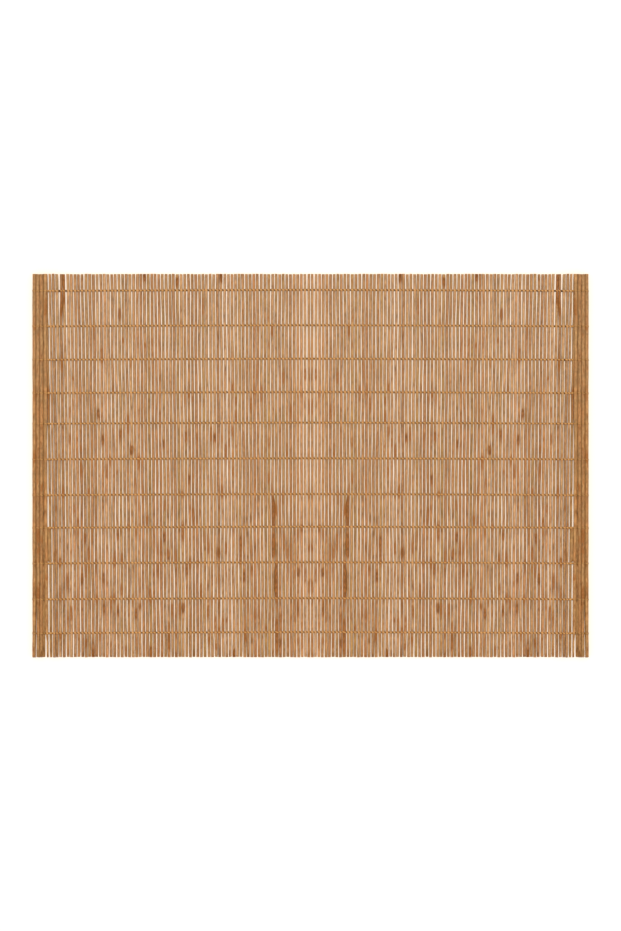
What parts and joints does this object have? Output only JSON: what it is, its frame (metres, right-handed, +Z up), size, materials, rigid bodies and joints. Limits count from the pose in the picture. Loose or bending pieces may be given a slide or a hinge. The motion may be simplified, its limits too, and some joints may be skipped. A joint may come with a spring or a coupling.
{
  "type": "bamboo placemat",
  "caption": "Flat placemat of split bamboo sticks laid side by side, held by rows of twined thread, with both short ends turned under as hems.",
  "frame": {"origin": "middle of the mat's footprint, at the table's height", "axes": "+X along the mat from hem to hem, +Y along the sticks towards the picture's top edge, +Z up from the table"},
  "size_m": [0.48, 0.33, 0.0053],
  "materials": {
    "bamboo": "satin",
    "thread": "matt"
  },
  "bodies": {
    "root": {"mat": "bamboo", "thread_01_over": "thread", "thread_01_under": "thread", "thread_02_over": "thread", "thread_02_under": "thread", "thread_03_over": "thread", "thread_03_under": "thread", "thread_04_over": "thread", "thread_04_under": "thread", "thread_05_over": "thread", "thread_05_under": "thread", "thread_06_over": "thread", "thread_06_under": "thread", "thread_07_over": "thread", "thread_07_under": "thread", "thread_08_over": "thread", "thread_08_under": "thread", "thread_09_over": "thread", "thread_09_under": "thread", "thread_10_over": "thread", "thread_10_under": "thread", "thread_11_over": "thread", "thread_11_under": "thread"}
  },
  "joints": []
}
